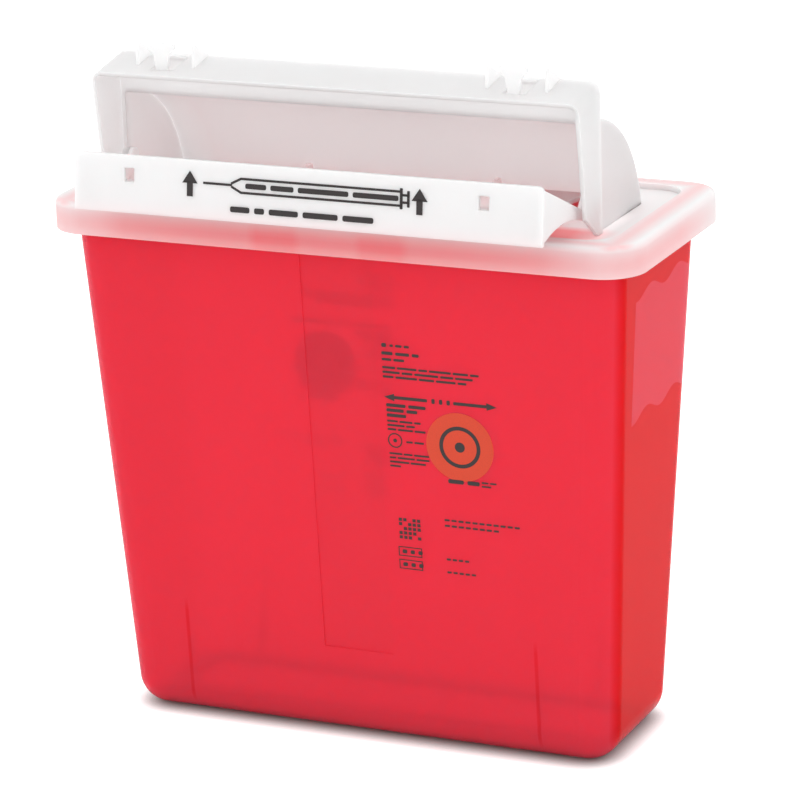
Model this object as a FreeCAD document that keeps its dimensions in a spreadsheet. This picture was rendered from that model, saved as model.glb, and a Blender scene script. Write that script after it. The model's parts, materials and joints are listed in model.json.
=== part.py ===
import FreeCAD, Part
import math
import os

import Sketcher

# Sharps container that stands on a bench: a tapered tub, a snap-fit lid, a hood on the lid
# and a swinging tray that is lifted by its front flap to drop what lies on it.
# Frame: X to the right, Y to the back, Z up; the origin is the middle of the tub's foot.

doc = FreeCAD.newDocument("sharps_container")
sheet = doc.addObject("Spreadsheet::Sheet", "sizes")

SIZES = [
    # alias, millimetres, what it measures
    ("tub_height", 236.4, "floor to the tub's upper edge"),
    ("end_draft", 12.4, "how far each end wall leans out over the tub's height"),
    ("front_draft", 14.7, "how far the front and back walls lean out"),
    ("foot_rounding", 14.0, "rounding between floor and walls"),
    ("tub_corner", 14.6, "radius of the tub's upright corners"),
    ("tub_wall", 1.8, "tub wall and floor"),
    ("ledge_drop", 5.2, "tub's upper edge down to the top of its snap ledge"),
    ("ledge_thickness", 2.0, "snap ledge round the tub"),
    ("lug_length", 21.0, "snap lug that stands on the ledge, left to right"),
    ("lug_spacing", 48.6, "left to right, between the two lugs of a side"),
    ("lug_height", 4.2, "snap lug above the ledge"),
    ("strip_width", 33.0, "sight strip down the middle of the front wall"),
    ("strip_depth", 0.5, "how far the sight strip is let into the wall"),
    ("strip_foot", 42.0, "floor to the lower end of the sight strip"),
    ("rib_inset", 31.5, "tub's end at the floor in to a nesting rib"),
    ("rib_height", 57.0, "floor to the pointed top of a nesting rib"),
    ("rib_depth", 4.0, "how far a nesting rib stands in from the wall at its foot"),
    ("rib_thickness", 1.6, "nesting rib"),
    ("lid_length", 273.0, "lid over the skirt, left to right"),
    ("lid_width", 117.2, "lid over the skirt, front to back"),
    ("lid_corner", 18.0, "plan radius of the lid's corners"),
    ("overhang_ends", 8.9, "lid beyond the tub's upper edge at the two ends"),
    ("overhang_sides", 5.6, "lid beyond the tub's upper edge along the front and back"),
    ("lid_wall", 1.8, "lid plastic"),
    ("skirt_height", 13.5, "lid rim down to the skirt's lower edge"),
    ("rim_band_ends", 13.6, "raised rim band at the two ends"),
    ("rim_band_sides", 10.8, "raised rim band along the front and back"),
    ("rim_step", 2.5, "rim band above the deck"),
    ("rim_rounding", 2.6, "rounding of the rim's outer edge"),
    ("bead", 1.1, "snap bead inside the skirt"),
    ("chute_inset", 21.0, "hood's end in to the end of the deck opening"),
    ("chute_front", 34.0, "centre to the front edge of the deck opening"),
    ("chute_back", 22.0, "centre to the back edge of the deck opening"),
    ("chute_corner", 4.0, "corner radius of the deck opening"),
    ("seat_gap", 0.3, "clearance between moulded pieces that sit together"),
    ("hood_inset", 15.6, "tub's upper edge in to the hood's end"),
    ("hood_wall", 1.8, "hood plastic"),
    ("hood_rounding", 5.0, "hood box, upper end corners outside"),
    ("mouth_rounding", 2.4, "hood box, upper end corners inside"),
    ("post_foot_y", 32.0, "centre to the front of the hood's end walls on the deck"),
    ("post_knee_y", 45.0, "centre to the lower end of the leaning front edge"),
    ("post_knee_z", 10.0, "deck to the lower end of the leaning front edge"),
    ("brow_y", 52.0, "centre to the hood's upper front edge"),
    ("brow_z", 60.1, "deck to the hood's upper front edge"),
    ("crown_y", 27.0, "centre to the hood's upper back edge"),
    ("crown_z", 64.6, "deck to the hood's upper back edge"),
    ("dome_step", 2.0, "hood box beyond the dome at each end"),
    ("dome_radius", 56.0, "hood dome outside"),
    ("dome_axis_y", 30.0, "centre to the dome's axis, to the front"),
    ("dome_axis_z", 8.0, "deck down to the dome's axis"),
    ("dome_rounding", 2.5, "rounding of the dome's end edges"),
    ("latch_inset", 31.0, "hood's end in to the middle of a latch"),
    ("latch_y", 45.6, "centre to the front face of a latch tongue"),
    ("latch_rise", 12.6, "hood's upper front edge to the top of a latch tongue"),
    ("latch_head", 12.5, "latch tongue's T head, left to right"),
    ("latch_head_depth", 2.4, "latch tongue's T head, up and down"),
    ("latch_stem", 4.4, "latch tongue's stem at its foot"),
    ("latch_thickness", 1.8, "latch tongue, front to back"),
    ("latch_window", 10.6, "opening behind the tongue, left to right"),
    ("fin_spacing", 26.6, "between the two guard fins of a latch"),
    ("fin_front_y", 42.0, "centre to the front edge of the fins"),
    ("fin_rise", 12.0, "hood's upper front edge to the tip of the fins"),
    ("fin_thickness", 1.3, "guard fin"),
    ("pivot_y", 28.0, "centre to the tray's pivot, to the front"),
    ("pivot_z", 18.0, "deck to the tray's pivot"),
    ("pivot_radius", 2.0, "pivot stud"),
    ("pivot_clearance", 0.06, "running clearance round the pivot stud"),
    ("socket_radius", 3.4, "socket boss in the hood and hub on the tray"),
    ("socket_skin", 0.8, "hood wall left outside the blind socket"),
    ("cheek_gap", 3.2, "hood's end wall in to the tray's end cheek"),
    ("tray_wall", 1.8, "tray plastic"),
    ("flap_thickness", 2.2, "front flap"),
    ("flap_reach", 53.3, "pivot to the lower front edge of the flap"),
    ("flap_drop", 10.8, "pivot down to the flap's lower edge"),
    ("flap_height", 24.3, "front flap, up and down"),
    ("flap_lean", 2.9, "how far the flap leans back over its height"),
    ("flap_corner", 3.0, "flap's upper corner radius"),
    ("crest_drop", 6.6, "pivot down to the underside of the tray's crest"),
    ("crest_radius", 67.0, "underside of the crested front floor"),
    ("neck_reach", 10.0, "pivot to the narrow neck of the end cheeks"),
    ("neck_height", 4.7, "end cheek at its neck"),
    ("paddle_gap", 3.0, "end of the deck opening in to the rear floor that swings through it"),
    ("paddle_reach", 47.0, "pivot to the rear edge of the floor"),
    ("paddle_fall", 5.0, "flap's lower edge down to the underside of the rear edge"),
    ("window_width", 4.8, "square window, left to right"),
    ("window_height", 6.0, "square window, up and down"),
    ("window_rise", 16.0, "flap's lower edge to the middle of a window"),
    ("stop_spacing", 90.0, "left to right, between the rest stops in the dome"),
    ("stop_thickness", 2.0, "rest stop"),
    ("stop_height", 2.5, "rest stop, up and down"),
    ("stop_reach", 1.6, "rest stop's tip forward of the tray's rear edge"),
]

for row, (alias, millimetres, note) in enumerate(SIZES, start=1):
    sheet.set(f"A{row}", note)
    sheet.set(f"B{row}", str(millimetres))
    sheet.setAlias(f"B{row}", alias)
doc.recompute()


class Size:
    """A length in millimetres together with the sheet formula that gives it."""

    def __init__(self, value, formula=None):
        self.value = float(value)
        self.formula = formula or f"{float(value):.6g}"

    def _with(self, other, sign, value):
        return Size(value, f"({self.formula} {sign} {of(other).formula})")

    def __add__(self, other):
        return self._with(other, "+", self.value + of(other).value)

    def __sub__(self, other):
        return self._with(other, "-", self.value - of(other).value)

    def __mul__(self, other):
        return self._with(other, "*", self.value * of(other).value)

    def __truediv__(self, other):
        return self._with(other, "/", self.value / of(other).value)

    def __neg__(self):
        return Size(-self.value, f"(0 - {self.formula})")


def of(number):
    """A Size from a Size or from a plain number."""
    return number if isinstance(number, Size) else Size(number)


def root(size):
    """Square root of a Size."""
    return Size(math.sqrt(size.value), f"sqrt({size.formula})")


class Sheet:
    """The cells of the sheet as Size attributes."""

    def __getattr__(self, alias):
        return Size(float(sheet.get(alias)), f"sizes.{alias}")


s = Sheet()

# Levels and places that several pieces share
rim_top = s.tub_height + s.seat_gap + s.lid_wall
skirt_foot = rim_top - s.skirt_height
deck_top = rim_top - s.rim_step
pivot_z = deck_top + s.pivot_z
pivot_y = -s.pivot_y
ledge_top = s.tub_height - s.ledge_drop
ledge_foot = ledge_top - s.ledge_thickness
side_slope = s.end_draft / s.tub_height
front_slope = s.front_draft / s.tub_height
mouth_length = s.lid_length - s.overhang_ends * 2
mouth_width = s.lid_width - s.overhang_sides * 2
foot_length = mouth_length - s.end_draft * 2
foot_width = mouth_width - s.front_draft * 2
hood_length = mouth_length - s.hood_inset * 2
dome_length = hood_length - s.dome_step * 2
chute_length = hood_length - s.chute_inset * 2
latch_middle = hood_length / 2 - s.latch_inset
tray_length = hood_length - (s.hood_wall + s.cheek_gap) * 2
paddle_top = pivot_z - s.flap_drop - s.paddle_fall + s.tray_wall
socket_end = dome_length / 2 - s.socket_skin


def origin_plane(body, role):
    """One of the body's own origin planes, such as XY_Plane."""
    return [item for item in body.Origin.OriginFeatures if item.Role == role][0]


def new_body(label):
    """An empty body whose label names its file."""
    body = doc.addObject("PartDesign::Body", label)
    body.Label = label
    return body


def new_sketch(body, name, role, offset=0.0):
    """A sketch on an origin plane, moved along the plane's normal."""
    sketch = body.newObject("Sketcher::SketchObject", name)
    sketch.AttachmentSupport = (origin_plane(body, role), [""])
    sketch.MapMode = "FlatFace"
    sketch.AttachmentOffset = FreeCAD.Placement(FreeCAD.Vector(0, 0, of(offset).value), FreeCAD.Rotation())
    sketch.setExpression("AttachmentOffset.Base.z", of(offset).formula)
    return sketch


def pin(sketch, geometry, end, axis, size):
    """Ties one coordinate of a point to the sheet."""
    index = sketch.addConstraint(Sketcher.Constraint(f"Distance{axis}", -1, 1, geometry, end, size.value))
    sketch.setExpression(f"Constraints[{index}]", size.formula)


def outline(sketch, corners, arcs=None):
    """A closed outline. A corner is (u, v); a coordinate in a list is a first guess that an arc
    settles. An entry of arcs, by the index of the side's first corner, is (u, v, radius, turn)."""
    arcs = arcs or {}
    first = sketch.GeometryCount
    flat = [[of(c[0] if isinstance(c, list) else c) for c in corner] for corner in corners]
    places = [FreeCAD.Vector(u.value, v.value, 0) for u, v in flat]
    ends = []
    for i, start in enumerate(places):
        finish = places[(i + 1) % len(places)]
        if i not in arcs:
            sketch.addGeometry(Part.LineSegment(start, finish))
            ends.append((1, 2))
            continue
        u, v, radius, turn = arcs[i]
        middle = FreeCAD.Vector(of(u).value, of(v).value, 0)
        circle = Part.Circle(middle, FreeCAD.Vector(0, 0, 1), of(radius).value)
        low, high = (start, finish) if turn == "left" else (finish, start)
        angles = [math.atan2(p.y - middle.y, p.x - middle.x) for p in (low, high)]
        sketch.addGeometry(Part.ArcOfCircle(circle, angles[0], angles[1]))
        ends.append((1, 2) if turn == "left" else (2, 1))
    count = len(places)
    for i in range(count):
        here = first + i
        following = first + (i + 1) % count
        after = ends[(i + 1) % count][0]
        sketch.addConstraint(Sketcher.Constraint("Coincident", here, ends[i][1], following, after))
        for axis, given, size in zip("XY", corners[i], flat[i]):
            if not isinstance(given, list):
                pin(sketch, here, ends[i][0], axis, size)
        if i in arcs:
            u, v, radius, turn = arcs[i]
            pin(sketch, here, 3, "X", of(u))
            pin(sketch, here, 3, "Y", of(v))
            index = sketch.addConstraint(Sketcher.Constraint("Radius", here, of(radius).value))
            sketch.setExpression(f"Constraints[{index}]", of(radius).formula)


def rounded_box(sketch, left, right, front, back, radius):
    """A rectangle with rounded corners: four sides and four tangent arcs, front side first."""
    r = of(radius)
    first = sketch.GeometryCount
    x_low, x_high, y_low, y_high = left.value, right.value, front.value, back.value
    sides = [
        ((x_low + r.value, y_low), (x_high - r.value, y_low)),
        ((x_high, y_low + r.value), (x_high, y_high - r.value)),
        ((x_high - r.value, y_high), (x_low + r.value, y_high)),
        ((x_low, y_high - r.value), (x_low, y_low + r.value)),
    ]
    middles = [
        (x_high - r.value, y_low + r.value),
        (x_high - r.value, y_high - r.value),
        (x_low + r.value, y_high - r.value),
        (x_low + r.value, y_low + r.value),
    ]
    for i, (start, finish) in enumerate(sides):
        sketch.addGeometry(Part.LineSegment(FreeCAD.Vector(*start, 0), FreeCAD.Vector(*finish, 0)))
        circle = Part.Circle(FreeCAD.Vector(*middles[i], 0), FreeCAD.Vector(0, 0, 1), r.value)
        turn = math.pi / 2 * (i - 1)
        sketch.addGeometry(Part.ArcOfCircle(circle, turn, turn + math.pi / 2))
    for i in range(4):
        side = first + i * 2
        following = first + (i * 2 + 2) % 8
        sketch.addConstraint(Sketcher.Constraint("Tangent", side, 2, side + 1, 1))
        sketch.addConstraint(Sketcher.Constraint("Tangent", side + 1, 2, following, 1))
        sketch.addConstraint(Sketcher.Constraint("Vertical" if i % 2 else "Horizontal", side))
        if i:
            sketch.addConstraint(Sketcher.Constraint("Equal", first + 1, side + 1))
    index = sketch.addConstraint(Sketcher.Constraint("Radius", first + 1, r.value))
    sketch.setExpression(f"Constraints[{index}]", r.formula)
    for i, (axis, size) in enumerate((("Y", front), ("X", right), ("Y", back), ("X", left))):
        pin(sketch, first + i * 2, 1, axis, size)


def centred_box(sketch, length, width, radius):
    """A rounded rectangle about the origin."""
    rounded_box(sketch, -length / 2, length / 2, -width / 2, width / 2, radius)


def box(sketch, left, right, front, back):
    """A plain rectangle."""
    outline(sketch, [(left, front), (right, front), (right, back), (left, back)])


def disc(sketch, u, v, radius):
    """A circle tied to the sheet."""
    middle = FreeCAD.Vector(of(u).value, of(v).value, 0)
    here = sketch.addGeometry(Part.Circle(middle, FreeCAD.Vector(0, 0, 1), of(radius).value))
    pin(sketch, here, 3, "X", of(u))
    pin(sketch, here, 3, "Y", of(v))
    index = sketch.addConstraint(Sketcher.Constraint("Radius", here, of(radius).value))
    sketch.setExpression(f"Constraints[{index}]", of(radius).formula)


def extrude(body, kind, sketch, length, backwards=False):
    """A pad or pocket of a sketch. A pad runs along the plane's normal and so does a pocket
    that is marked backwards."""
    before = body.Shape.Volume if body.Tip else 0.0
    feature = body.newObject(f"PartDesign::{kind}", f"{sketch.Name}_{kind.lower()}")
    feature.Profile = sketch
    feature.Length = of(length).value
    feature.setExpression("Length", of(length).formula)
    feature.Reversed = backwards
    sketch.Visibility = False
    doc.recompute()
    grown = body.Shape.Volume - before
    if (grown <= 0) == (kind == "Pad"):
        raise RuntimeError(f"{feature.Name} changed nothing or went the wrong way")
    return feature


def pad(body, sketch, length, backwards=False):
    return extrude(body, "Pad", sketch, length, backwards)


def pocket(body, sketch, length, backwards=True):
    return extrude(body, "Pocket", sketch, length, backwards)


def wedge(body, kind, name, low, high, foot, head):
    """A four-sided taper between two levels. Its foot and head are (left, right, back, front),
    each a distance from the middle, where back and front count towards the front."""
    before = body.Shape.Volume if body.Tip else 0.0
    feature = body.newObject(f"PartDesign::{kind}Wedge", name)
    feature.AttachmentSupport = (origin_plane(body, "XZ_Plane"), [""])
    feature.MapMode = "FlatFace"
    sides = ("Ymin", "Ymax", "Xmin", "Xmax", "Zmin", "Zmax", "X2min", "X2max", "Z2min", "Z2max")
    for side, size in zip(sides, (low, high) + foot + head):
        setattr(feature, side, of(size).value)
        feature.setExpression(side, of(size).formula)
    doc.recompute()
    grown = body.Shape.Volume - before
    if (grown <= 0) == (kind == "Additive"):
        raise RuntimeError(f"{feature.Name} changed nothing")
    return feature


def taper(body, kind, name, low, length, width, high, head_length, head_width):
    """A wedge about the middle."""
    foot = (-length / 2, length / 2, -width / 2, width / 2)
    head = (-head_length / 2, head_length / 2, -head_width / 2, head_width / 2)
    return wedge(body, kind, name, low, high, foot, head)


def fillet(body, radius, chosen):
    """Rounds the edges of the body's last feature that the test chooses."""
    base = body.Tip
    names = [f"Edge{i}" for i, edge in enumerate(base.Shape.Edges, start=1) if chosen(edge)]
    if not names:
        raise RuntimeError(f"no edge to round on {base.Name}")
    feature = body.newObject("PartDesign::Fillet", f"{base.Name}_fillet")
    feature.Base = (base, names)
    feature.Radius = of(radius).value
    feature.setExpression("Radius", of(radius).formula)
    doc.recompute()
    return feature


def mirror(body, features):
    """The same features on the other side of the middle plane."""
    feature = body.newObject("PartDesign::Mirrored", f"{features[0].Name}_mirrored")
    feature.Originals = features
    feature.MirrorPlane = (origin_plane(body, "YZ_Plane"), [""])
    body.Tip = feature
    doc.recompute()
    return feature


def level(edge, axis, place, slack=0.02):
    """Whether an edge lies wholly at one coordinate."""
    limits = edge.BoundBox
    low = getattr(limits, f"{axis}Min")
    high = getattr(limits, f"{axis}Max")
    return abs(low - place.value) < slack and abs(high - place.value) < slack


def upright(edge):
    """Whether an edge runs nearly the full height of the tub as one straight line."""
    return edge.BoundBox.ZLength > s.tub_height.value * 0.8 and edge.Curve.TypeId == "Part::GeomLine"


def make_tub():
    """Tapered tub with a snap ledge and lugs, a sight strip in front and four nesting ribs."""
    body = new_body("tub")
    taper(body, "Additive", "tub_outside", of(0), foot_length, foot_width,
          s.tub_height, mouth_length, mouth_width)
    gain_x = (side_slope * s.tub_wall - s.tub_wall) * 2
    gain_y = (front_slope * s.tub_wall - s.tub_wall) * 2
    taper(body, "Subtractive", "tub_inside", s.tub_wall, foot_length + gain_x, foot_width + gain_y,
          s.tub_height, mouth_length - s.tub_wall * 2, mouth_width - s.tub_wall * 2)
    wall_middle = (mouth_length.value - s.tub_wall.value) / 2

    def inner_upright(edge):
        return upright(edge) and abs(edge.BoundBox.Center.x) + edge.BoundBox.XLength / 2 < wall_middle

    def outer_upright(edge):
        return upright(edge) and not inner_upright(edge)

    fillet(body, s.tub_corner - s.tub_wall, inner_upright)
    fillet(body, s.foot_rounding - s.tub_wall, lambda edge: level(edge, "Z", s.tub_wall))
    fillet(body, s.tub_corner, outer_upright)
    fillet(body, s.foot_rounding, lambda edge: level(edge, "Z", of(0)))

    ledge = new_sketch(body, "tub_ledge", "XY_Plane", ledge_foot)
    reach = (s.lid_wall + s.seat_gap) * 2
    centred_box(ledge, s.lid_length - reach, s.lid_width - reach, s.lid_corner - s.lid_wall - s.seat_gap)
    inside = (s.tub_wall + side_slope * s.ledge_drop) * 2
    centred_box(ledge, mouth_length - inside, mouth_width - inside, s.tub_corner - s.tub_wall)
    pad(body, ledge, s.ledge_thickness)

    # two lugs a side stand on the ledge just inside the lid's skirt
    lugs = new_sketch(body, "snap_lugs", "XY_Plane", ledge_top)
    outer = s.lid_width / 2 - s.lid_wall - s.seat_gap
    inner = mouth_width / 2 - s.tub_wall / 2 - front_slope * s.ledge_drop
    for side in (-1, 1):
        for end in (-1, 1):
            middle = s.lug_spacing / 2 * end
            box(lugs, middle - s.lug_length / 2, middle + s.lug_length / 2, inner * side, outer * side)
    pad(body, lugs, s.lug_height)

    # the strip's back face runs parallel to the tapered wall
    strip_head = ledge_foot - s.ledge_thickness
    low_wall = foot_width / 2 + front_slope * s.strip_foot
    high_wall = foot_width / 2 + front_slope * strip_head
    half = s.strip_width / 2
    wedge(body, "Subtractive", "sight_strip", s.strip_foot, strip_head,
          (-half, half, low_wall - s.strip_depth, low_wall + s.tub_wall),
          (-half, half, high_wall - s.strip_depth, high_wall + s.tub_wall))

    # each rib rises from the floor, follows the rounding inside the wall and ends in a point
    ribs = new_sketch(body, "nesting_ribs", "YZ_Plane", foot_length / 2 - s.rib_inset - s.rib_thickness / 2)
    half = foot_width / 2
    sunk = s.tub_wall / 4
    bend = (s.foot_rounding - sunk) * root(of(0.5))
    profile = [
        (half - s.foot_rounding - s.tub_wall, sunk),
        (half - s.foot_rounding + bend, s.foot_rounding - bend),
        (half + front_slope * s.foot_rounding - sunk, s.foot_rounding),
        (half + front_slope * s.rib_height - s.tub_wall / 2, s.rib_height),
        (half - s.tub_wall - s.rib_depth, s.foot_rounding),
    ]
    for side in (-1, 1):
        outline(ribs, [(y * side, z) for y, z in profile])
    mirror(body, [pad(body, ribs, s.rib_thickness)])
    return body


def make_lid():
    """Lid with a raised rim over the tub's edge, a skirt with a snap bead and a deck with a chute."""
    body = new_body("lid")
    outer = new_sketch(body, "lid_outer", "XY_Plane", skirt_foot)
    centred_box(outer, s.lid_length, s.lid_width, s.lid_corner)
    pad(body, outer, s.skirt_height)
    fillet(body, s.rim_rounding, lambda edge: level(edge, "Z", rim_top))

    # the plug fits inside the tub's mouth and the deck lies inside the plug
    plug_length = mouth_length - (s.tub_wall + s.seat_gap) * 2 - side_slope * s.skirt_height * 2
    plug_width = mouth_width - (s.tub_wall + s.seat_gap) * 2 - front_slope * s.skirt_height * 2
    plug_corner = s.tub_corner - s.tub_wall - s.seat_gap
    deck = new_sketch(body, "lid_deck", "XY_Plane", deck_top)
    deck_length = s.lid_length - s.rim_band_ends * 2
    deck_width = s.lid_width - s.rim_band_sides * 2
    centred_box(deck, deck_length, deck_width, plug_corner)
    pocket(body, deck, s.rim_step)

    # channel that takes the tub's upper edge, between the skirt and the plug wall
    skirt = s.lid_wall * 2
    channel = new_sketch(body, "lid_channel", "XY_Plane", skirt_foot)
    centred_box(channel, s.lid_length - skirt, s.lid_width - skirt, s.lid_corner - s.lid_wall)
    centred_box(channel, plug_length, plug_width, plug_corner)
    pocket(body, channel, s.skirt_height - s.lid_wall)

    under = new_sketch(body, "lid_under", "XY_Plane", skirt_foot)
    centred_box(under, plug_length - skirt, plug_width - skirt, plug_corner - s.lid_wall)
    pocket(body, under, s.skirt_height - s.rim_step - s.lid_wall)

    bead_top = ledge_foot - s.seat_gap
    bead = new_sketch(body, "lid_bead", "XY_Plane", bead_top - s.bead)
    centred_box(bead, s.lid_length - s.lid_wall, s.lid_width - s.lid_wall, s.lid_corner - s.lid_wall / 2)
    inner = (s.lid_wall + s.bead) * 2
    centred_box(bead, s.lid_length - inner, s.lid_width - inner, s.lid_corner - s.lid_wall - s.bead)
    pad(body, bead, s.bead)

    chute = new_sketch(body, "lid_chute", "XY_Plane", deck_top - s.lid_wall)
    rounded_box(chute, -chute_length / 2, chute_length / 2, -s.chute_front, s.chute_back, s.chute_corner)
    pocket(body, chute, s.lid_wall)
    return body


def across(body, name, length):
    """A sketch of a side profile, for a feature that runs across the middle by this length."""
    return new_sketch(body, name, "YZ_Plane", -length / 2)


def make_hood():
    """Hood: a box whose front leans out over the tray, a quarter-round dome behind it, two latches."""
    body = new_body("hood")
    brow = (-s.brow_y, deck_top + s.brow_z)
    crown = (-s.crown_y, deck_top + s.crown_z)
    knee = (-s.post_knee_y, deck_top + s.post_knee_z)
    axis_y = -s.dome_axis_y
    axis_z = deck_top - s.dome_axis_z

    profile = across(body, "hood_box", hood_length)
    outline(profile, [(-s.post_foot_y, deck_top), knee, brow, crown, (crown[0], deck_top)])
    pad(body, profile, hood_length)

    # inside of the box: open to the front and below
    slant = (s.crown_z - s.brow_z) / (s.brow_y - s.crown_y)
    lead = of(10)
    ceiling = brow[1] - s.hood_wall
    inside = across(body, "hood_box_inside", hood_length - s.hood_wall * 2)
    back = crown[0] - s.hood_wall
    outline(inside, [
        (brow[0] - lead, deck_top - s.hood_wall),
        (back, deck_top - s.hood_wall),
        (back, ceiling + slant * (back - brow[0])),
        (brow[0] - lead, ceiling - slant * lead),
    ])
    pocket(body, inside, hood_length - s.hood_wall * 2)

    def upper_inside_edge(edge):
        limits = edge.BoundBox
        at_end = abs(abs(limits.Center.x) - (hood_length.value / 2 - s.hood_wall.value)) < 0.02
        return at_end and limits.ZMin > ceiling.value - 1 and limits.YLength > 1

    fillet(body, s.mouth_rounding, upper_inside_edge)

    def upper_end_edge(edge):
        limits = edge.BoundBox
        at_end = abs(abs(limits.Center.x) - hood_length.value / 2) < 0.02
        return at_end and limits.ZMin > brow[1].value - 0.1 and limits.YLength > 1

    fillet(body, s.hood_rounding, upper_end_edge)

    def dome_outline(sketch, radius, front, foot):
        """Quarter round from a vertical front line down to its foot."""
        high = root(radius * radius - (front - axis_y) * (front - axis_y))
        deep = root(radius * radius - (foot - axis_z) * (foot - axis_z))
        corners = [(front, foot), ([axis_y + deep], foot), (front, [axis_z + high])]
        outline(sketch, corners, {1: (axis_y, axis_z, radius, "left")})

    dome = across(body, "hood_dome", dome_length)
    dome_outline(dome, s.dome_radius, crown[0] - s.hood_wall, deck_top)
    pad(body, dome, dome_length)

    def dome_end_edge(edge):
        limits = edge.BoundBox
        at_end = abs(abs(limits.Center.x) - dome_length.value / 2) < 0.02 and limits.XLength < 0.02
        return at_end and edge.Curve.TypeId == "Part::GeomCircle"

    fillet(body, s.dome_rounding, dome_end_edge)

    dome_inside = across(body, "hood_dome_inside", dome_length - s.hood_wall * 2)
    dome_outline(dome_inside, s.dome_radius - s.hood_wall, back - s.hood_wall, deck_top - s.hood_wall)
    pocket(body, dome_inside, dome_length - s.hood_wall * 2)

    # right-hand latch: a window, a T-headed tongue at its front edge and two guard fins
    middle = latch_middle
    window = new_sketch(body, "latch_window", "XY_Plane", brow[1] - s.hood_wall * 3)
    box(window, middle - s.latch_window / 2, middle + s.latch_window / 2, -s.latch_y, back - s.hood_wall)
    opening = pocket(body, window, s.hood_wall * 6 + s.crown_z - s.brow_z)

    tongue = new_sketch(body, "latch_tongue", "XZ_Plane", s.latch_y - s.latch_thickness)
    top = brow[1] + s.latch_rise
    shoulder = top - s.latch_head_depth
    foot = brow[1] + slant * (s.brow_y - s.latch_y) - s.hood_wall
    half_head = s.latch_head / 2
    outline(tongue, [
        (middle - s.latch_stem / 2, foot), (middle + s.latch_stem / 2, foot),
        (middle + s.latch_stem * 0.8, shoulder - s.latch_head_depth), (middle + half_head, shoulder),
        (middle + half_head, top), (middle - half_head, top),
        (middle - half_head, shoulder), (middle - s.latch_stem * 0.8, shoulder - s.latch_head_depth),
    ])
    stem = pad(body, tongue, s.latch_thickness + s.hood_wall / 4)

    fins = []
    for name, side in (("fin_inner", -1), ("fin_outer", 1)):
        place = middle + s.fin_spacing / 2 * side - s.fin_thickness / 2
        fin = new_sketch(body, name, "YZ_Plane", place)
        base = brow[1] + slant * (s.brow_y - s.fin_front_y) - s.hood_wall / 2
        outline(fin, [
            (-s.fin_front_y, base),
            (crown[0], crown[1] - s.hood_wall / 2),
            (crown[0], crown[1]),
            (-s.fin_front_y + s.fin_thickness, brow[1] + s.fin_rise),
            (-s.fin_front_y, brow[1] + s.fin_rise),
        ])
        fins.append(pad(body, fin, s.fin_thickness))

    # blind pivot socket in a boss where the end walls of box and dome meet, so the boss is in
    # two parts: a whole ring up to the dome's wall and its front half on to the box's wall
    face = tray_length / 2 + s.seat_gap
    wall_inside = hood_length / 2 - s.hood_wall
    boss = new_sketch(body, "socket_boss", "YZ_Plane", face)
    disc(boss, pivot_y, pivot_z, s.socket_radius)
    ring = pad(body, boss, dome_length / 2 - s.hood_wall / 2 - face)
    front_boss = new_sketch(body, "socket_boss_front", "YZ_Plane", face)
    cut = crown[0] - s.hood_wall / 2
    rise = root(s.socket_radius * s.socket_radius - (cut - pivot_y) * (cut - pivot_y))
    outline(front_boss, [(cut, [pivot_z - rise]), (cut, [pivot_z + rise])],
            {1: (pivot_y, pivot_z, s.socket_radius, "left")})
    half_ring = pad(body, front_boss, wall_inside + s.hood_wall / 2 - face)
    hole = new_sketch(body, "socket_hole", "YZ_Plane", face)
    disc(hole, pivot_y, pivot_z, s.pivot_radius + s.pivot_clearance)
    blind = pocket(body, hole, socket_end - face)

    # rest stop: a short rib on the dome that the tray's rear edge comes up against
    stop = new_sketch(body, "rest_stop", "YZ_Plane", s.stop_spacing / 2 - s.stop_thickness / 2)
    stop_foot = paddle_top + s.seat_gap
    tip = pivot_y + s.paddle_reach - s.stop_reach
    stop_head = stop_foot + s.stop_height
    sunk = s.dome_radius - s.hood_wall / 2

    def in_dome_wall(z):
        return axis_y + root(sunk * sunk - (z - axis_z) * (z - axis_z))

    outline(stop, [
        (tip, stop_foot), (in_dome_wall(stop_foot), stop_foot),
        (in_dome_wall(stop_head), stop_head), (tip + s.stop_reach / 2, stop_head),
    ])
    rib = pad(body, stop, s.stop_thickness)
    mirror(body, [opening, stem] + fins + [ring, half_ring, blind, rib])
    return body


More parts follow.
